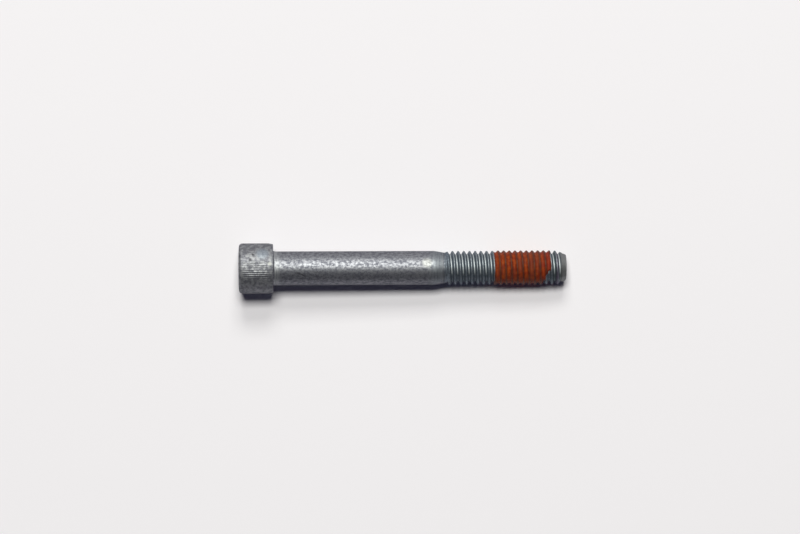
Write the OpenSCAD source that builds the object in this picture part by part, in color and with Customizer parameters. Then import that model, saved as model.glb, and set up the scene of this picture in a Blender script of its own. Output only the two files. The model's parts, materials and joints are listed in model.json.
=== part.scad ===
/* [Head] */
// Diameter over the crests of the knurl
head_d = 14; // [12.5:0.1:16]
// Height from the bearing face to the top face
head_h = 9.5; // [8.5:0.1:12]
// Radius of the round edge between the side and the top face
head_edge_r = 1; // [0.5:0.1:1.5]
// How far the side is drawn in where it meets the bearing face
bearing_edge_in = 0.25; // [0.1:0.01:0.5]
// Height of the band over which the side is drawn in
bearing_edge_h = 1.2; // [0.6:0.1:2]

/* [Knurl] */
// Number of teeth round the head
knurl_teeth = 72; // [48:4:88]
// Depth of each groove below the crests
knurl_depth = 0.22; // [0.1:0.01:0.35]
// Width of each groove at its mouth
knurl_groove_w = 0.42; // [0.2:0.01:0.48]

/* [Hex socket] */
// Distance across the flats
socket_af = 7.94; // [5:0.01:8.7]
// Depth of the flats below the top face
socket_depth = 5; // [3:0.1:6]
// Full angle of the drilled cone at the bottom
drill_angle = 118; // [100:1:140]
// How far the bevel round the mouth reaches past the corners
socket_bevel = 0.2; // [0.1:0.05:0.5]

/* [Shank] */
// Length from the bearing face to the tip
screw_len = 81.7; // [70:0.1:120]
// Diameter of the plain shank
shank_d = 9.45; // [9:0.01:9.9]
// Radius of the fillet under the head
fillet_r = 0.5; // [0.2:0.05:1]
// Length of the taper from the shank down to the thread
taper_len = 2.8; // [1:0.1:5]

/* [Thread] */
// Nominal diameter
thread_d = 9.525; // [9.3:0.005:10]
// Distance from one crest to the next
thread_pitch = 1.5875; // [1.25:0.0125:1.8]
// How far the rolled crests stay short of the nominal size, on the radius
crest_short = 0.0625; // [0:0.0125:0.15]
// Threaded length, from the tip to the end of the taper
thread_len = 34.1; // [26:0.1:50]
// Distance from the tip back to the last crest, on the side that lies down
tip_to_crest = 0.3; // [0.1:0.05:1.2]

/* [Tip] */
// Diameter of the flat end
tip_d = 7.1; // [5:0.1:7.5]
// Full angle of the cone that the crests run out on
tip_angle = 51; // [40:1:90]

/* [Locking patch] */
// Distance from the tip to the near end of the dried coating
patch_from_tip = 3.9; // [3:0.1:8]
// Length of the coating
patch_len = 17.3; // [6:0.1:20]
// Thickness of the coating over the crests
patch_on_crest = 0.08; // [0.04:0.01:0.15]
// Thickness of the coating at the bottom of the grooves
patch_in_root = 0.45; // [0.2:0.01:0.7]

/* [Hidden] */
$fn = 96;

steel = [0.47, 0.48, 0.51];
dried_orange = [0.5, 0.22, 0.12];

head_r = head_d / 2;
shank_r = shank_d / 2;
tip_r = tip_d / 2;
thread_start = screw_len - thread_len;
arc_steps = 6;

// Cuts run this far past the face that they open
cut_over = 0.5;

// The drilled cone leaves a narrow land inside the flats, and the bevel is shallow
drill_land = 0.15;
bevel_slope = 30;

// Standard 60 degree form: sharp height, pitch radius, root radius and crest radius
sharp_h = thread_pitch * cos(30);
blank_r = thread_d / 2 - sharp_h * 3 / 8;
root_r = thread_d / 2 - sharp_h * 17 / 24;
crest_r = thread_d / 2 - crest_short;

// Half widths of the crest and root flats, as parts of one turn
crest_half = 1 / 16 + crest_short * tan(30) / thread_pitch;
root_half = 1 / 12;
flank_places = [-crest_half, crest_half, 0.5 - root_half, 0.5 + root_half];
flank_radii = [crest_r, crest_r, root_r, root_r];
rows_per_turn = len(flank_places);

// The thread is a sheet of points: columns stand round the axis, rows follow the helix.
// Columns are counted from the lowest side, which lies flat between two of them, and the
// first stands past the top, where the coating ends.
thread_sides = 24;
first_column = 14;
bottom_columns = [thread_sides - first_column - 2 : thread_sides - first_column + 1];
start_depth = 0.8;
start_step = 0.04;
fade_from = thread_start + thread_pitch / 8;
fade_len = thread_pitch * 1.4;
snap = thread_pitch / thread_sides / 2;
thread_turns = ceil((thread_len + start_depth) / thread_pitch) + 2;
thread_rows = rows_per_turn * (thread_turns + 3);
buried_z = thread_start - start_depth;

// The edges of the coating follow the thread, so its last row lies a turn short of its end
patch_first = row_at(screw_len - patch_from_tip - patch_len);
patch_last = row_at(screw_len - patch_from_tip - thread_pitch);
patch_thickness = [patch_on_crest, patch_on_crest, patch_in_root, patch_in_root];
patch_edge_share = 0.3;

function row_at(z) =
    let (turns_in = (z - screw_len + tip_to_crest) / thread_pitch + thread_turns)
    round(rows_per_turn * (turns_in - first_column / thread_sides));
function turn_of(j) = floor(j / rows_per_turn) + flank_places[j % rows_per_turn] - thread_turns;
function column_turn(i) = (first_column + i + 0.5) / thread_sides;
function raw_z(i, j) = screw_len - tip_to_crest + thread_pitch * (column_turn(i) + turn_of(j));
function kept_z(z) = z < buried_z + snap ? buried_z : z > screw_len - snap ? screw_len : z;
function faded(z) = max(0, min(1, (z - fade_from) / fade_len));
function formed_r(j, z) =
    let (start_r = blank_r - start_step)
    start_r + (flank_radii[j % rows_per_turn] - start_r) * faded(z);
function tip_limit(z) = tip_r + (screw_len - z) * tan(tip_angle / 2);
function thread_r(j, z) = min(formed_r(j, z), tip_limit(z));
function on_circle(r, i, z) = [r * cos(360 * column_turn(i)), r * sin(360 * column_turn(i)), z];

function thread_point(i, j) =
    let (z = kept_z(raw_z(i, j)))
    on_circle(thread_r(j, z), i, z);

function patch_share(j) =
    let (rows_in = min(j - patch_first, patch_last + rows_per_turn - j))
    patch_edge_share + (1 - patch_edge_share) * min(1, max(0, rows_in / rows_per_turn));
function patch_point(i, j) =
    let (z = kept_z(raw_z(i, j)))
    on_circle(thread_r(j, z) + patch_thickness[j % rows_per_turn] * patch_share(j), i, z);

// A quarter arc as points, from angle a to angle b round a centre
function arc(centre, r, a, b) = [
    for (k = [0:arc_steps])
        let (angle = a + (b - a) * k / arc_steps)
        centre + r * [cos(angle), sin(angle)]
];

// The last column is followed by the first one, a whole turn further along
function beside(i, j) = i + 1 < thread_sides ? [i + 1, j] : [0, j + rows_per_turn];

// Two triangles of a four-sided face
function split(a, b, c, d) = [[a, b, c], [a, c, d]];
function distinct(face, points) =
    let (a = points[face[0]], b = points[face[1]], c = points[face[2]])
    a != b && b != c && c != a;

// Resting pose: the head lies on two knurl crests and the thread on the crest that touches first
rest_angle = asin(knurl_groove_w / head_d);
head_rim = [
    [head_r * cos(rest_angle), -bearing_edge_h],
    [(head_r - bearing_edge_in) * cos(rest_angle), 0]
];
touch_points = [
    for (j = [patch_first:thread_rows - 1], i = bottom_columns)
        j > patch_last ? thread_point(i, j) : patch_point(i, j)
];
lie_tilt = min([for (v = touch_points) max([for (h = head_rim) atan2(h[0] - v[0], v[2] - h[1])])]);
axis_z = max([for (h = head_rim) h[1] * sin(lie_tilt) + h[0] * cos(lie_tilt)]);
head_reach = (head_h - head_edge_r) * cos(lie_tilt) + (head_r - head_edge_r) * sin(lie_tilt) + head_edge_r;
tip_reach = screw_len * cos(lie_tilt) + tip_r * sin(lie_tilt);

// Lays a part that stands on its bearing face down along +X, with the tip forward
module laid_down() {
    translate([(head_reach - tip_reach) / 2, 0, axis_z])
        rotate([0, 90 + lie_tilt, 0])
            children();
}

// Head, fillet, shank and taper, turned as one outline round the axis
module turned_blank() {
    rotate_extrude()
        polygon(concat(
            [[0, -head_h]],
            arc([head_r - head_edge_r, head_edge_r - head_h], head_edge_r, -90, 0),
            [[head_r, -bearing_edge_h], [head_r - bearing_edge_in, 0]],
            arc([shank_r + fillet_r, fillet_r], fillet_r, 270, 180),
            [[shank_r, thread_start - taper_len], [blank_r, thread_start], [0, thread_start]]
        ));
}

// One straight groove of the knurl, wider than its mouth where it leaves the head
module knurl_groove() {
    root = head_r - knurl_depth;
    outer = head_r + cut_over;
    half_w = knurl_groove_w / 2 * (outer - root) / knurl_depth;
    translate([0, 0, -head_h - cut_over])
        linear_extrude(head_h + 2 * cut_over)
            polygon([[root, 0], [outer, half_w], [outer, -half_w]]);
}

// Six flats with the drilled cone below them and a shallow bevel round the mouth
module hex_socket() {
    corner_r = socket_af / 2 / cos(30);
    drill_r = socket_af / 2 - drill_land;
    mouth_r = corner_r + socket_bevel + cut_over / tan(bevel_slope);
    translate([0, 0, -head_h]) {
        translate([0, 0, -cut_over])
            cylinder(h = socket_depth + cut_over, r = corner_r, $fn = 6);
        translate([0, 0, socket_depth])
            cylinder(h = drill_r / tan(drill_angle / 2), r1 = drill_r, r2 = 0);
        translate([0, 0, -cut_over])
            cylinder(h = (mouth_r - drill_r) * tan(bevel_slope), r1 = mouth_r, r2 = drill_r);
    }
}

// Rolled thread: a closed helical sheet from inside the taper to the flat end
module rolled_thread() {
    last = thread_rows - 1;
    points = [for (j = [0:last], i = [0:thread_sides - 1]) thread_point(i, j)];
    function at(c) = min(c[1], last) * thread_sides + c[0];
    sheet = [
        for (j = [0:last - 1], i = [0:thread_sides - 1])
            each split(at([i, j]), at([i, j + 1]), at(beside(i, j + 1)), at(beside(i, j)))
    ];
    ends = [
        [for (i = [0:thread_sides - 1]) at([i, 0])],
        [for (i = [thread_sides - 1:-1:0]) at([i, last])]
    ];
    polyhedron(points = points, faces = concat([for (f = sheet) if (distinct(f, points)) f], ends));
}

// Forged head, plain shank and rolled thread: one piece of steel
module cap_screw() {
    color(steel)
        laid_down()
            union() {
                difference() {
                    turned_blank();
                    for (k = [0:knurl_teeth - 1])
                        rotate(k * 360 / knurl_teeth)
                            knurl_groove();
                    hex_socket();
                }
                rolled_thread();
            }
}

// Dried coating: its inner face is the thread itself, its outer face is smoother
module locking_patch() {
    rows = patch_last - patch_first + 1;
    seam = rows * thread_sides;
    inner = concat(
        [for (i = [0:thread_sides - 1], j = [patch_first:patch_last]) thread_point(i, j)],
        [for (j = [1:rows_per_turn]) thread_point(0, patch_last + j)]
    );
    outer = concat(
        [for (i = [0:thread_sides - 1], j = [patch_first:patch_last]) patch_point(i, j)],
        [for (j = [1:rows_per_turn]) patch_point(0, patch_last + j)]
    );
    function in_at(c) = c[1] > patch_last ? seam + c[1] - patch_last - 1 : c[0] * rows + c[1] - patch_first;
    function out_at(c) = len(inner) + in_at(c);
    sides = [
        for (j = [patch_first:patch_last - 1], i = [0:thread_sides - 1])
            let (a = [i, j], b = [i, j + 1], c = beside(i, j + 1), d = beside(i, j))
            each concat(
                split(out_at(a), out_at(b), out_at(c), out_at(d)),
                [[in_at(a), in_at(c), in_at(b)], [in_at(a), in_at(d), in_at(c)]]
            )
    ];
    edges = [
        for (i = [0:thread_sides - 1])
            let (
                a = [i, patch_first],
                b = beside(i, patch_first),
                c = [i, patch_last],
                d = beside(i, patch_last)
            )
            each concat(
                split(in_at(a), out_at(a), out_at(b), in_at(b)),
                split(in_at(c), in_at(d), out_at(d), out_at(c))
            )
    ];
    seam_edges = [
        for (k = [0:rows_per_turn - 1])
            let (
                a = [0, patch_first + k],
                b = [0, patch_first + k + 1],
                c = [0, patch_last + k],
                d = [0, patch_last + k + 1]
            )
            each concat(
                split(in_at(a), in_at(b), out_at(b), out_at(a)),
                split(in_at(c), out_at(c), out_at(d), in_at(d))
            )
    ];
    color(dried_orange)
        laid_down()
            polyhedron(points = concat(inner, outer), faces = concat(sides, edges, seam_edges));
}

cap_screw();
locking_patch();
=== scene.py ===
import json
import math

import bmesh
import bpy
from mathutils import Matrix, Vector, noise


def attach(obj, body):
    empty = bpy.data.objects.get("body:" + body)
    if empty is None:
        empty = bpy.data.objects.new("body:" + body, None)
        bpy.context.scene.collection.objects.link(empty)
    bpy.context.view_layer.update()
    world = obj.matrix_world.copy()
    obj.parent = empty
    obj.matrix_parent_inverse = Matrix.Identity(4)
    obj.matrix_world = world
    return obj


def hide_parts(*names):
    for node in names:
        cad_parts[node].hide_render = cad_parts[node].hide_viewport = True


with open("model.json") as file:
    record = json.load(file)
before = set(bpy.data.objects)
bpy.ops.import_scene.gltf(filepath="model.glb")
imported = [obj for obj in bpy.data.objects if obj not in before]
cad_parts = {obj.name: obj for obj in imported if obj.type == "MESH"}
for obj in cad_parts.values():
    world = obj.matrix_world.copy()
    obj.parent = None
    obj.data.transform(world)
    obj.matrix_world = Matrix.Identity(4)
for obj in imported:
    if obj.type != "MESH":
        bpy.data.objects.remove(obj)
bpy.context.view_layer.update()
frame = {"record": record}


# The forged head: a round steel head with a rounded top edge, a straight knurl and a hex
# socket. It is modelled upright, with the bearing face at z = 0 and the shank along +Z, and
# is laid down with the whole screw further on.
mm = 0.001
same_place = 0.001 * mm
on_the_cut = 0.00001 * mm
weld_gap = 0.01 * mm
head_r = 7.0 * mm
head_h = 9.5 * mm
top_edge_r = 1.0 * mm
top_edge_segments = 8
bearing_edge_in = 0.25 * mm
bearing_edge_h = 1.2 * mm
side_rings = 14
knurl_teeth = 72
steps_per_tooth = 8


def add_solid(primitive, **settings):
    """Adds a primitive, alone selected, and puts its place into its mesh."""
    bpy.ops.object.select_all(action="DESELECT")
    primitive(**settings)
    bpy.ops.object.transform_apply(location=True, rotation=True, scale=True)
    return bpy.context.object


def take(piece, mode="EDIT"):
    """Makes one piece the only one selected and opens it in the given mode."""
    bpy.ops.object.select_all(action="DESELECT")
    bpy.context.view_layer.objects.active = piece
    piece.select_set(True)
    bpy.ops.object.mode_set(mode=mode)


def pick(piece, kind, test):
    """Selects the edges or faces of an open mesh that pass the test."""
    bpy.ops.mesh.select_mode(type=kind)
    bpy.ops.mesh.select_all(action="DESELECT")
    mesh = bmesh.from_edit_mesh(piece.data)
    for part in mesh.edges if kind == "EDGE" else mesh.faces:
        if test(part):
            part.select_set(True)
    bmesh.update_edit_mesh(piece.data)


def at_height(z, reach=same_place):
    """Tests whether all corners of an edge or a face lie within reach of the height z."""
    return lambda part: all(abs(vertex.co.z - z) < reach for vertex in part.verts)


def cut_ring(z, **cleared):
    """Cuts the whole open mesh at height z and welds the corners that the cut leaves too close."""
    bpy.ops.mesh.select_all(action="SELECT")
    bpy.ops.mesh.bisect(plane_co=(0, 0, z), plane_no=(0, 0, 1), threshold=on_the_cut, **cleared)
    bpy.ops.mesh.remove_doubles(threshold=weld_gap)


screw = add_solid(
    bpy.ops.mesh.primitive_cylinder_add, vertices=knurl_teeth * steps_per_tooth,
    radius=head_r, depth=head_h, location=(0, 0, -head_h / 2))
screw.name = "steel_screw"
take(screw)
pick(screw, "EDGE", at_height(-head_h))
bpy.ops.mesh.bevel(offset=top_edge_r, segments=top_edge_segments, affect="EDGES")
for ring in range(side_rings):
    side_share = ring / side_rings
    cut_ring(-bearing_edge_h - side_share * (head_h - top_edge_r - bearing_edge_h))
pick(screw, "FACE", at_height(0))
foot_grow = 1 - bearing_edge_in / head_r
bpy.ops.transform.resize(value=(foot_grow, foot_grow, 1), center_override=(0, 0, 0))

# The shank grows out of the bearing face in one piece with the head: a fillet, the plain
# body of the screw, and a taper down to the blank that the thread is rolled on.
shank_r = 4.725 * mm
shank_shares = (0.25, 0.5, 0.75, 1)
fillet_r = 0.5 * mm
fillet_steps = 6
taper_start = 44.8 * mm
taper_end = 47.6 * mm
taper_steps = 6
taper_curve = 1.2
thread_pitch = 1.5875 * mm
blank_r = 4.247 * mm
seam_z = taper_end + thread_pitch / 8
seam_gap = 0.02 * mm


def draw_out(outline):
    """Extrudes the selected end through a list of (radius, height) rings round the Z axis."""
    for (r, z), (next_r, next_z) in zip(outline, outline[1:]):
        bpy.ops.mesh.extrude_region_move(TRANSFORM_OT_translate={"value": (0, 0, next_z - z)})
        grow = next_r / r
        bpy.ops.transform.resize(value=(grow, grow, 1), center_override=(0, 0, 0))


quarter_turn = [math.pi / 2 * step / fillet_steps for step in range(fillet_steps + 1)]
foot = [(head_r - bearing_edge_in, 0)]
fillet = [
    (shank_r + fillet_r * (1 - math.sin(turn)), fillet_r * (1 - math.cos(turn)))
    for turn in quarter_turn]
body = [(shank_r, fillet_r + share * (taper_start - fillet_r)) for share in shank_shares]
taper_shares = [(step + 1) / taper_steps for step in range(taper_steps)]
taper = [
    (shank_r + (blank_r - shank_r) * share ** taper_curve,
     taper_start + share * (taper_end - taper_start))
    for share in taper_shares]
blank_end = [(blank_r, seam_z - seam_gap)]
draw_out(foot + fillet + body + taper + blank_end)

# Knurl: each ring of the head is pulled in at the grooves, which run out where the edges
# are already narrower. The coating has nearly filled them, but for a worn patch on one side.
knurl_depth = 0.2 * mm
knurl_shape = (1.0, 0.72, 0.34, 0.05, 0.0, 0.05, 0.34, 0.72)
open_everywhere = 0.05
open_varies = 0.04
open_where_worn = 0.36
varies_per_m = 500
worn_patch_y = -0.75 * mm
worn_patch_z = -4.6 * mm
worn_patch_half_y = 2.5 * mm
worn_patch_half_z = 3.7 * mm
patch_edge_wander = 0.4
wander_per_m = 400

mesh = bmesh.from_edit_mesh(screw.data)
step_angle = math.tau / (knurl_teeth * steps_per_tooth)
groove_floor = head_r - knurl_depth
for vertex in mesh.verts:
    r = math.hypot(vertex.co.x, vertex.co.y)
    if r < groove_floor or vertex.co.z > -same_place:
        continue
    step = round(math.atan2(vertex.co.y, vertex.co.x) / step_angle)
    wander = patch_edge_wander * noise.noise(vertex.co * wander_per_m)
    across = (vertex.co.y - worn_patch_y) / worn_patch_half_y + wander
    lengthways = (vertex.co.z - worn_patch_z) / worn_patch_half_z
    worn = max(0, 1 - across ** 4 - lengthways ** 4) if vertex.co.x < 0 else 0
    varied = open_varies * noise.noise(vertex.co * varies_per_m)
    open_share = open_everywhere + varied + open_where_worn * worn
    depth = knurl_depth * knurl_shape[step % steps_per_tooth] * open_share
    grow = min(r, head_r - depth) / r
    vertex.co.x *= grow
    vertex.co.y *= grow
bmesh.update_edit_mesh(screw.data)
bpy.ops.object.mode_set(mode="OBJECT")


# The hex socket is punched over a drilled hole: six flats, the cone of the drill below
# them and a shallow bevel round the mouth. Each tool is modelled, and the head is cut by it.
socket_af = 7.94 * mm
socket_depth = 5.0 * mm
socket_bevel = 0.2 * mm
corner_round = 0.15 * mm
corner_segments = 3
drill_r = 3.82 * mm
drill_slope = math.radians(31)
drill_sides = 96
drill_overlap = 0.5 * mm
bevel_slope = math.radians(30)
over_top = 1.0 * mm


def cut_with(piece, tool):
    """Cuts a modelled tool out of the piece and takes the tool away."""
    take(piece, "OBJECT")
    cut = piece.modifiers.new("cut", "BOOLEAN")
    cut.operation = "DIFFERENCE"
    cut.solver = "EXACT"
    cut.object = tool
    bpy.ops.object.modifier_apply(modifier=cut.name)
    bpy.data.objects.remove(tool, do_unlink=True)


corner_r = socket_af / 2 / math.cos(math.pi / 6)
punch = add_solid(
    bpy.ops.mesh.primitive_cylinder_add, vertices=6, radius=corner_r, depth=socket_depth + over_top,
    rotation=(0, 0, math.pi / 6), location=(0, 0, -head_h + (socket_depth - over_top) / 2))
take(punch)
pick(punch, "EDGE", lambda edge: abs(edge.verts[0].co.z - edge.verts[1].co.z) > socket_depth)
bpy.ops.mesh.bevel(offset=corner_round, segments=corner_segments, affect="EDGES")
bpy.ops.object.mode_set(mode="OBJECT")
cut_with(screw, punch)

cone_h = drill_r * math.tan(drill_slope)
drill = add_solid(
    bpy.ops.mesh.primitive_cone_add, vertices=drill_sides, radius1=drill_r, radius2=0, depth=cone_h,
    location=(0, 0, -head_h + socket_depth + cone_h / 2))
take(drill)
pick(drill, "FACE", at_height(-head_h + socket_depth))
bpy.ops.mesh.extrude_region_move(TRANSFORM_OT_translate={"value": (0, 0, -drill_overlap)})
bpy.ops.object.mode_set(mode="OBJECT")
cut_with(screw, drill)

mouth_r = corner_r + socket_bevel
bevel_h = (mouth_r - drill_r) * math.tan(bevel_slope)
bevel_over = over_top * math.tan(bevel_slope)
countersink = add_solid(
    bpy.ops.mesh.primitive_cone_add, vertices=drill_sides, radius1=mouth_r + over_top,
    radius2=drill_r, depth=bevel_h + bevel_over, location=(0, 0, -head_h + (bevel_h - bevel_over) / 2))
cut_with(screw, countersink)


# The rolled thread: a right-hand 60 degree thread with rounded crests and roots, which
# fades in past the taper and runs out on the cone of the tip. One pitch of its outline
# is drawn, turned along a helix and shaped at both ends.
screw_len = 81.7 * mm
last_crest_in = 0.3 * mm
last_crest_z = screw_len - last_crest_in
crest_r = 4.7 * mm
root_r = 3.789 * mm
crest_half = 0.1353 * mm
crest_round = 0.16 * mm
root_round = 0.229 * mm
flank_slope = math.radians(60)
arc_steps = 4
thread_steps = 96
thread_turns = 23
fade_len = 0.8 * thread_pitch
rim_reach = 0.02 * mm
tip_r = 3.55 * mm
tip_slope = math.tan(math.radians(25.5))
tip_round = 0.35 * mm
tip_dish_r = 1.8 * mm
tip_dish = 0.12 * mm


def thread_outline():
    """Gives one pitch of the thread as (radius, height) points, from root to root."""
    arc = [flank_slope * step / arc_steps for step in range(arc_steps + 1)]
    crest_centre = crest_half - crest_round * math.tan(flank_slope / 2)
    root = [
        (root_r + root_round * (1 - math.cos(turn)), -thread_pitch / 2 + root_round * math.sin(turn))
        for turn in arc]
    crest = [
        (crest_r - crest_round * (1 - math.cos(turn)), -crest_centre - crest_round * math.sin(turn))
        for turn in reversed(arc)]
    rising = root + crest
    return rising + [(r, -z) for r, z in reversed(rising)]


def turned_helix(name, first_turn, turns):
    """Turns one pitch of the thread's outline along its helix and welds the turns."""
    piece = add_solid(bpy.ops.mesh.primitive_plane_add, size=mm)
    piece.name = name
    take(piece)
    bpy.ops.mesh.select_mode(type="VERT")
    bpy.ops.mesh.select_all(action="SELECT")
    bpy.ops.mesh.merge(type="CENTER")
    start_z = last_crest_z - first_turn * thread_pitch
    place = Vector((0, 0, 0))
    for number, (r, z) in enumerate(thread_outline()):
        target = Vector((r, 0, start_z + z))
        if number == 0:
            bpy.ops.transform.translate(value=target - place)
        else:
            bpy.ops.mesh.extrude_region_move(TRANSFORM_OT_translate={"value": target - place})
        place = target
    bpy.ops.object.mode_set(mode="OBJECT")
    helix = piece.modifiers.new("helix", "SCREW")
    helix.axis = "Z"
    helix.angle = math.tau
    helix.screw_offset = thread_pitch
    helix.iterations = turns
    helix.steps = thread_steps
    helix.render_steps = thread_steps
    helix.use_merge_vertices = False
    bpy.ops.object.modifier_apply(modifier=helix.name)
    take(piece)
    bpy.ops.mesh.select_all(action="SELECT")
    bpy.ops.mesh.remove_doubles(threshold=same_place)
    return piece


def shaped_radius(vertex):
    """Fades the thread in past the taper and keeps it inside the cone of the tip."""
    r = math.hypot(vertex.co.x, vertex.co.y)
    share = min(1, max(0, (vertex.co.z - seam_z) / fade_len))
    return min(blank_r + (r - blank_r) * share, tip_r + (screw_len - vertex.co.z) * tip_slope)


def shape(piece, radius_of):
    """Moves each vertex of an open mesh straight out or in to a distance from the Z axis."""
    mesh = bmesh.from_edit_mesh(piece.data)
    for vertex in mesh.verts:
        grow = radius_of(vertex) / math.hypot(vertex.co.x, vertex.co.y)
        vertex.co.x *= grow
        vertex.co.y *= grow
    bmesh.update_edit_mesh(piece.data)


def open_rim_at(z):
    """Tests whether an edge lies on the open end of a mesh at height z."""
    return lambda edge: edge.is_boundary and at_height(z, rim_reach)(edge)


thread = turned_helix("rolled_thread", thread_turns - 1, thread_turns + 1)
cut_ring(seam_z, clear_inner=True)
cut_ring(screw_len - tip_round, clear_outer=True)
shape(thread, shaped_radius)
cone_end_r = tip_r + tip_round * tip_slope
pick(thread, "EDGE", open_rim_at(screw_len - tip_round))
tip_arc = [
    (cone_end_r - tip_round * (1 - math.cos(turn)), screw_len - tip_round * (1 - math.sin(turn)))
    for turn in quarter_turn]
draw_out(tip_arc + [(tip_dish_r, screw_len - tip_dish)])
bpy.ops.mesh.edge_face_add()
bpy.ops.object.mode_set(mode="OBJECT")

# The two halves of the blank are welded where the taper ends and the thread begins. The
# whole screw is then laid down on its knurl and its thread, as the CAD's mounts place it.
smooth_under = math.radians(35)

take(screw)
pick(screw, "FACE", at_height(seam_z - seam_gap))
bpy.ops.mesh.delete(type="ONLY_FACE")
bpy.ops.object.mode_set(mode="OBJECT")
thread.select_set(True)
bpy.ops.object.join()
take(screw)
bpy.ops.mesh.select_mode(type="EDGE")
bpy.ops.mesh.select_all(action="DESELECT")
bpy.ops.mesh.select_non_manifold(extend=False, use_wire=True, use_boundary=True, use_multi_face=False)
bpy.ops.mesh.bridge_edge_loops()
bpy.ops.mesh.select_all(action="SELECT")
bpy.ops.mesh.normals_make_consistent(inside=False)
bpy.ops.object.mode_set(mode="OBJECT")
mounts = {mount["name"]: mount for mount in frame["record"]["mounts"]}
along = -Vector(mounts["hex_socket"]["axis"])
bearing_centre = Vector(mounts["hex_socket"]["pos_m"]) + along * head_h
lie_turn = math.pi / 2 + math.asin(-along.z)
laid_down = Matrix.Translation(bearing_centre) @ Matrix.Rotation(lie_turn, 4, "Y")
screw.data.transform(laid_down)
bpy.ops.object.shade_smooth_by_angle(angle=smooth_under)


# Finish of the steel: a thin grey oxide over bare metal, worn to paler flecks. The lathe has
# left fine rings under the head and on the taper. The rolled thread is darker and bluish,
# and the tip has faint temper colours. Heights here are millimetres from the bearing face.
class Value:
    """A node's output that adds Math nodes when it is used in an expression."""

    def __init__(self, finish, socket):
        self.finish = finish
        self.socket = socket

    def math(self, operation, first, second):
        return self.finish.node("ShaderNodeMath", {"operation": operation}, {0: first, 1: second})

    def __add__(self, other):
        return self.math("ADD", self, other)

    def __radd__(self, other):
        return self.math("ADD", other, self)

    def __sub__(self, other):
        return self.math("SUBTRACT", self, other)

    def __rsub__(self, other):
        return self.math("SUBTRACT", other, self)

    def __mul__(self, other):
        return self.math("MULTIPLY", self, other)

    def __rmul__(self, other):
        return self.math("MULTIPLY", other, self)

    def __truediv__(self, other):
        return self.math("DIVIDE", self, other)

    def __rtruediv__(self, other):
        return self.math("DIVIDE", other, self)


class Shading:
    """The nodes of a material or of the room, and the ways to add to them."""

    def __init__(self, tree):
        self.tree = tree

    def node(self, kind, settings, inputs, output=0):
        """Adds a node, sets it up, feeds its sockets and gives one of its outputs."""
        node = self.tree.nodes.new(kind)
        for name, setting in settings.items():
            setattr(node, name, setting)
        for name, value in inputs.items():
            self.feed(node.inputs[name], value)
        return Value(self, node.outputs[output])

    def feed(self, socket, value):
        """Links a value to a socket, or sets it there."""
        if isinstance(value, Value):
            self.tree.links.new(value.socket, socket)
        else:
            socket.default_value = value

    def between(self, value, low, high):
        """Gives 0 below one value, 1 above the other and a smooth step between them."""
        return self.node(
            "ShaderNodeMapRange", {"interpolation_type": "SMOOTHSTEP"},
            {"Value": value, "From Min": low, "From Max": high})

    def band(self, value, rise, fall):
        """Gives 1 from the end of a rising step to the start of a falling one."""
        return self.between(value, *rise) * (1 - self.between(value, *fall))

    def blend(self, share, first, second):
        """Mixes two colours, or a colour and another blend."""
        mix = self.tree.nodes.new("ShaderNodeMix")
        mix.data_type = "RGBA"
        self.feed(mix.inputs[0], share)
        self.feed(mix.inputs[6], first)
        self.feed(mix.inputs[7], second)
        return Value(self, mix.outputs[2])


class Finish(Shading):
    """A material whose pattern lies in the upright screw's own place, in millimetres."""

    spot_core = 0.4

    def __init__(self, name):
        self.material = bpy.data.materials.new(name)
        self.material.use_nodes = True
        super().__init__(self.material.node_tree)
        self.surface = self.tree.nodes["Principled BSDF"]
        where = self.node("ShaderNodeTexCoord", {}, {}, "Object")
        self.place = self.node(
            "ShaderNodeMapping", {"vector_type": "TEXTURE"},
            {"Vector": where, "Location": bearing_centre, "Rotation": (0, lie_turn, 0),
             "Scale": (mm, mm, mm)})
        self.x = self.node("ShaderNodeSeparateXYZ", {}, {0: self.place}, "X")
        self.y = self.node("ShaderNodeSeparateXYZ", {}, {0: self.place}, "Y")
        self.z = self.node("ShaderNodeSeparateXYZ", {}, {0: self.place}, "Z")
        r_squared = self.x * self.x + self.y * self.y
        self.r = self.node("ShaderNodeMath", {"operation": "SQRT"}, {0: r_squared})

    def speckle(self, scale, stretch=(1, 1, 1), detail=3, rough=0.5):
        """Gives a cloudy noise from 0 to 1, with scale in features per millimetre."""
        place = self.node(
            "ShaderNodeVectorMath", {"operation": "MULTIPLY"}, {0: self.place, 1: stretch})
        return self.node(
            "ShaderNodeTexNoise", {},
            {"Vector": place, "Scale": scale, "Detail": detail, "Roughness": rough})

    def spot(self, place, radius):
        """Gives 1 round a place in millimetres, falling to 0 at the radius."""
        away = self.node(
            "ShaderNodeVectorMath", {"operation": "DISTANCE"}, {0: self.place, 1: place}, "Value")
        return 1 - self.between(away, self.spot_core * radius, radius)

    def relief(self, height, depth):
        """Raises the surface by a height from 0 to 1 times a depth in millimetres."""
        bump = self.node("ShaderNodeBump", {}, {"Height": height, "Distance": depth * mm})
        self.feed(self.surface.inputs["Normal"], bump)

    def cover(self, piece):
        """Gives a piece this finish and no other."""
        piece.data.materials.clear()
        piece.data.materials.append(self.material)


dark_oxide = (0.107, 0.11, 0.136, 1)
pale_oxide = (0.232, 0.236, 0.262, 1)
turned_steel = (0.30, 0.31, 0.33, 1)
taper_grey = (0.12, 0.14, 0.165, 1)
shoulder_dark = (0.05, 0.055, 0.065, 1)
dark_head = (0.12, 0.122, 0.142, 1)
pale_head = (0.275, 0.28, 0.296, 1)
grime_grey = (0.07, 0.07, 0.08, 1)
dark_rolled = (0.12, 0.143, 0.176, 1)
pale_rolled = (0.19, 0.22, 0.255, 1)
tip_blue = (0.125, 0.158, 0.168, 1)
tip_violet = (0.12, 0.088, 0.145, 1)
tip_grey = (0.205, 0.205, 0.205, 1)

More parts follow.
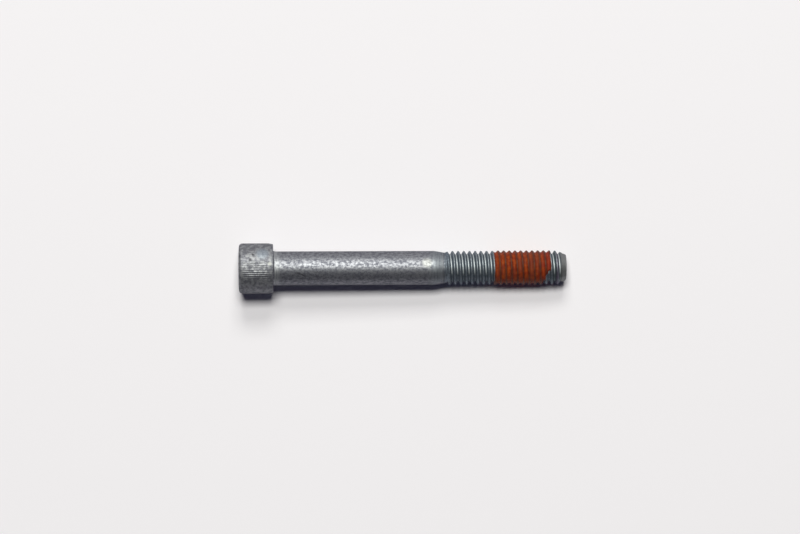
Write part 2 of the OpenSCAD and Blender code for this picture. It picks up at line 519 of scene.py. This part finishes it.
steel = Finish("oxidised_steel")
mottle = steel.speckle(1.5, stretch=(1, 1, 0.7), detail=6, rough=0.75)
flecks = steel.between(mottle, 0.38, 0.6)
blotches = steel.between(steel.speckle(1.0, detail=4, rough=0.6), 0.4, 0.6)
wavy = steel.speckle(0.9, stretch=(1, 1, 0.8), detail=3, rough=0.6)
grime = steel.between(steel.speckle(1.6, detail=3), 0.62, 0.72)
turning = steel.speckle(5, stretch=(0.05, 0.05, 1), detail=2)
near_head = steel.band(steel.z, (0.1, 0.4), (1.2, 2.6))
on_taper = steel.band(steel.z, (42.5, 45.5), (47, 47.6))
ringed = near_head + on_taper
on_head = 1 - steel.between(steel.z, -0.3, 0.1)
on_thread = steel.between(steel.z, 47, 48.4)
on_tip = steel.between(steel.z, 77, 78.5)
plain = steel.blend(flecks, dark_oxide, pale_oxide)
plain = steel.blend(ringed * steel.between(turning, 0.4, 0.55), plain, turned_steel)
plain = steel.blend(0.55 * on_taper, plain, taper_grey)
shoulder_line = steel.band(steel.z, (47.2, 47.5), (47.7, 48))
plain = steel.blend(0.6 * shoulder_line, plain, shoulder_dark)
head_grey = steel.blend(blotches, dark_head, pale_head)
plain = steel.blend(0.7 * on_head, plain, head_grey)
plain = steel.blend(0.5 * grime * (1 - on_thread), plain, grime_grey)
rolled = steel.blend(flecks, dark_rolled, pale_rolled)
temper = steel.between(steel.speckle(0.9, detail=2), 0.5, 0.62)
violet = steel.band(steel.z, (78.5, 78.9), (79.4, 79.7))
tinted = steel.blend(violet * (0.6 + 0.4 * temper), tip_blue, tip_violet)
tinted = steel.blend(steel.between(steel.z, 79.6, 80.4), tinted, tip_grey)
rolled = steel.blend(0.8 * on_tip, rolled, tinted)
steel_colour = steel.blend(on_thread, plain, rolled)

# Marks on the steel: two dark pits, a bruise and a bluish patch on the head, a scuff behind
# it, and a burnished spot before the taper. The thread's crests and roots are painted lighter
# only on the side toward the lamp: a painted highlight over crests worn pale and roots that
# the rolling dies left bright.
bluish_grey = (0.25, 0.29, 0.345, 1)
pit_black = (0.03, 0.03, 0.035, 1)
burnished_grey = (0.36, 0.365, 0.355, 1)
crest_highlight_grey = (0.25, 0.27, 0.28, 1)
root_highlight_pale = (0.44, 0.47, 0.49, 1)

pits = steel.spot((-6.55, 2.4, -6.2), 0.6) + steel.spot((-5.85, 3.8, -5.5), 0.45)
bruise = steel.spot((-6.8, 1.3, -0.8), 0.75)
scuff_run = (steel.z - 6.2) / 2.8
scuff_off = steel.y + 1.25 + 1.1 * scuff_run * scuff_run
scuff = (1 - steel.between(scuff_off * scuff_off, 0.01, 0.06)) * (1 - steel.between(steel.x, -1, 0))
scuff = scuff * steel.band(scuff_run, (-0.1, 0.2), (0.8, 1.1))
burnished = steel.spot((-4.5, 1.5, 42.8), 1.9)
bluish = steel.spot((-5.6, 4.2, -2.9), 2.4)
# Crest and root lines are lighter only where y is above about -1.2 mm, the side toward the lamp:
# painted highlight as well as wear and rolled brightness.
crest_wear_and_highlight = on_thread * steel.between(steel.r, 4.56, 4.69) * steel.between(steel.y, -1.6, 0.2)
root_shine_and_highlight = on_thread * (1 - steel.between(steel.r, 3.80, 3.92)) * steel.between(steel.y, -2.2, -1.2)
root_shine_and_highlight = root_shine_and_highlight * (1 - steel.between(steel.z, 80.3, 80.6))
steel_colour = steel.blend(0.5 * bluish, steel_colour, bluish_grey)
steel_colour = steel.blend(0.75 * pits + 0.6 * scuff, steel_colour, pit_black)
steel_colour = steel.blend(0.5 * burnished + 0.7 * bruise, steel_colour, burnished_grey)
steel_colour = steel.blend(0.4 * crest_wear_and_highlight, steel_colour, crest_highlight_grey)
steel_colour = steel.blend(root_shine_and_highlight, steel_colour, root_highlight_pale)
steel_roughness = 0.6 + 0.06 * on_head - 0.14 * flecks + 0.07 * root_shine_and_highlight
steel.feed(steel.surface.inputs["Base Color"], steel_colour)
steel.feed(steel.surface.inputs["Roughness"], steel_roughness)
steel.surface.inputs["Metallic"].default_value = 0.88
steel.surface.inputs["Specular Tint"].default_value = (0.55, 0.55, 0.58, 1)
fine = steel.speckle(6, stretch=(1, 1, 0.5), detail=4, rough=0.6)
uneven = 0.5 * mottle + 0.3 * fine + (2.4 - 1.6 * on_head) * wavy
uneven = uneven * (1 - 0.7 * on_thread) * (1 - 0.7 * burnished)
steel.relief(uneven + 0.5 * turning * ringed, 0.011)
steel.cover(screw)
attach(screw, "root")
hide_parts("cap_screw")


# The dried coating: an orange-brown thread-locking film, brushed on wet over ten turns.
# It fills the grooves in part, is thin over the crests, is rubbed thinner where the screw
# rests on it, and has ragged ends.
coat_first_z = 61.5 * mm
coat_last_z = 77.4 * mm
coat_margin = 0.8 * mm
coat_cut_back = 1.7 * mm
cut_back_from = -0.4 * mm
cut_back_over = 2.2 * mm
coat_on_crest = 0.09 * mm
coat_where_it_rests = 0.03 * mm
rests_below = 0.8 * crest_r
coat_in_root = 0.45 * mm
coat_sunk = 0.04 * mm
groove_curve = 1.5
ragged_over = 0.35 * mm
end_wander = 0.35 * mm
end_wander_per_m = 550
lump_share = 0.25
lumps_per_m = 900
film_smooth_under = math.radians(40)


def coat_presence(place):
    """Gives 1 where the film lies and 0 past its ragged ends."""
    wander = noise.noise(place * end_wander_per_m) * end_wander
    start = (place.z + wander - coat_first_z) / ragged_over
    low_side = min(1, max(0, (cut_back_from - place.y) / cut_back_over))
    end = (coat_last_z - coat_cut_back * low_side - place.z + wander) / ragged_over
    share = min(1, max(0, min(start, end)))
    return share * share * (3 - 2 * share)


def coat_radius(vertex):
    """Gives the outside of the film over one point of the steel."""
    r = math.hypot(vertex.co.x, vertex.co.y)
    groove = max(0, (crest_r - r) / (crest_r - root_r)) ** groove_curve
    lumps = 1 + lump_share * noise.noise(vertex.co * lumps_per_m)
    rubbed = min(1, max(0, vertex.co.x / rests_below))
    crest_film = coat_on_crest + (coat_where_it_rests - coat_on_crest) * rubbed
    film = (crest_film + (coat_in_root - crest_film) * groove) * lumps
    presence = coat_presence(vertex.co)
    return r + film * presence - coat_sunk * (1 - presence)


def under_steel(vertex):
    """Gives the inside of the film, just below the steel's own surface."""
    return math.hypot(vertex.co.x, vertex.co.y) - 2 * coat_sunk


def film_side(name, radius_of):
    """Makes one side of the film: a copy of the thread's helix at another distance."""
    first_turn = math.ceil((last_crest_z - coat_first_z) / thread_pitch) + 2
    side = turned_helix(name, first_turn, first_turn)
    cut_ring(coat_first_z - coat_margin, clear_inner=True)
    cut_ring(coat_last_z + coat_margin, clear_outer=True)
    shape(side, radius_of)
    bpy.ops.object.mode_set(mode="OBJECT")
    return side


coating = film_side("dried_coating", coat_radius)
lining = film_side("coating_lining", under_steel)
take(lining)
bpy.ops.mesh.select_all(action="SELECT")
bpy.ops.mesh.flip_normals()
bpy.ops.object.mode_set(mode="OBJECT")
take(coating, "OBJECT")
lining.select_set(True)
bpy.ops.object.join()
take(coating)
for end_z in (coat_first_z - coat_margin, coat_last_z + coat_margin):
    pick(coating, "EDGE", open_rim_at(end_z))
    bpy.ops.mesh.bridge_edge_loops()
bpy.ops.mesh.select_all(action="SELECT")
bpy.ops.mesh.normals_make_consistent(inside=False)
bpy.ops.object.mode_set(mode="OBJECT")
coating.data.transform(laid_down)
bpy.ops.object.shade_smooth_by_angle(angle=film_smooth_under)

dark_orange = (0.18, 0.019, 0.003, 1)
bright_orange = (0.275, 0.045, 0.004, 1)
tip_red = (0.20, 0.014, 0.006, 1)
dull_brown = (0.13, 0.03, 0.017, 1)
dark_crest = (0.05, 0.011, 0.006, 1)
pale_crest = (0.078, 0.022, 0.012, 1)

film = Finish("dried_coating_finish")
on_crest = film.between(film.r, 4.5, 4.78)
patchy = film.between(film.speckle(0.9, detail=3), 0.35, 0.65)
redder = film.between(film.z, 73, 77)
duller = film.between(film.speckle(0.7, stretch=(0.25, 0.25, 1), detail=2), 0.47, 0.6)
orange = film.blend(patchy, dark_orange, bright_orange)
orange = film.blend(0.6 * redder, orange, tip_red)
orange = film.blend(0.55 * duller, orange, dull_brown)
worn_film = film.blend(patchy, dark_crest, pale_crest)
film.feed(film.surface.inputs["Base Color"], film.blend(on_crest * 0.88, orange, worn_film))
film.feed(film.surface.inputs["Roughness"], 0.7 - 0.15 * on_crest)
film.surface.inputs["Specular IOR Level"].default_value = 0.2
film.relief(film.speckle(3.5, detail=4), 0.03)
film.cover(coating)
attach(coating, "root")
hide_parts("locking_patch")


# The floor: a large sheet of matt white board, which the screw lies on. It isn't part of
# the object, and its tint makes up for the colour of the lamps.
board_width = 6
board_white = (0.845, 0.82, 0.897, 1)

floor = add_solid(bpy.ops.mesh.primitive_plane_add, size=board_width)
floor.name = "white_board"
board = bpy.data.materials.new("matt_board")
board.use_nodes = True
board_surface = board.node_tree.nodes["Principled BSDF"]
board_surface.inputs["Base Color"].default_value = board_white
board_surface.inputs["Roughness"].default_value = 0.9
board_surface.inputs["Specular IOR Level"].default_value = 0.1
floor.data.materials.append(board)


# The light: a large soft lamp above and behind the screw, the glow of its shade further
# back, and a dim room that is pale behind the screw.
lamp_distance = 2.5
lamp_width = 0.9
lamp_colour = (0.99, 1.0, 0.9)
key_lean = math.radians(19)
key_side = -0.03
glow_lean = math.radians(44)
room_dark = (0.02, 0.02, 0.034, 1)
room_pale = (0.82, 0.81, 0.82, 1)
front_share = 0.11


def lamp(name, side, lean, depth, brightness):
    """Hangs a soft rectangular lamp that leans back from straight above the screw."""
    light = bpy.data.lights.new(name, "AREA")
    light.shape = "RECTANGLE"
    light.size = lamp_width
    light.size_y = depth
    light.energy = brightness * math.pi * lamp_width * depth
    light.color = lamp_colour
    holder = bpy.data.objects.new(name, light)
    bpy.context.collection.objects.link(holder)
    direction = Vector((side, math.sin(lean), math.cos(lean))).normalized()
    holder.location = direction * lamp_distance
    holder.rotation_euler = direction.to_track_quat("Z", "Y").to_euler()


lamp("soft_lamp", key_side, key_lean, depth=0.65, brightness=27.2)
lamp("lamp_glow", 0, glow_lean, depth=0.7, brightness=13)
room = bpy.data.worlds.new("dim_room")
bpy.context.scene.world = room
room.use_nodes = True
room_light = Shading(room.node_tree)
seen = room_light.node("ShaderNodeLightPath", {}, {}, "Is Camera Ray")
mirrored = room_light.node("ShaderNodeLightPath", {}, {}, "Is Glossy Ray")
through = room_light.node("ShaderNodeLightPath", {}, {}, "Is Transmission Ray")
towards = room_light.node("ShaderNodeTexCoord", {}, {}, "Generated")
backwards = room_light.node("ShaderNodeSeparateXYZ", {}, {0: towards}, "Y")
behind = front_share + (1 - front_share) * room_light.between(backwards, 0.1, 0.6)
pale = seen + (mirrored + through) * behind
room_colour = room_light.blend(pale, room_dark, room_pale)
room_light.feed(room.node_tree.nodes["Background"].inputs["Color"], room_colour)

# The camera looks straight down, as in the photograph, from 0.86 m above the floor. Its
# place and its slight turn set the screw where the photograph has it.
camera_place = (-0.67 * mm, 0.27 * mm, 0.86)
camera_turn = math.radians(-0.2)
picture_width_px = 800
focal_px = 3061.6

lens = bpy.data.cameras.new("camera")
lens.sensor_fit = "HORIZONTAL"
lens.sensor_width = 36
lens.lens = focal_px / picture_width_px * lens.sensor_width
lens.clip_start = 0.01
camera = bpy.data.objects.new("camera", lens)
bpy.context.collection.objects.link(camera)
camera.location = camera_place
camera.rotation_euler = (0, 0, camera_turn)
bpy.context.scene.camera = camera
bpy.context.scene.view_settings.view_transform = "Standard"
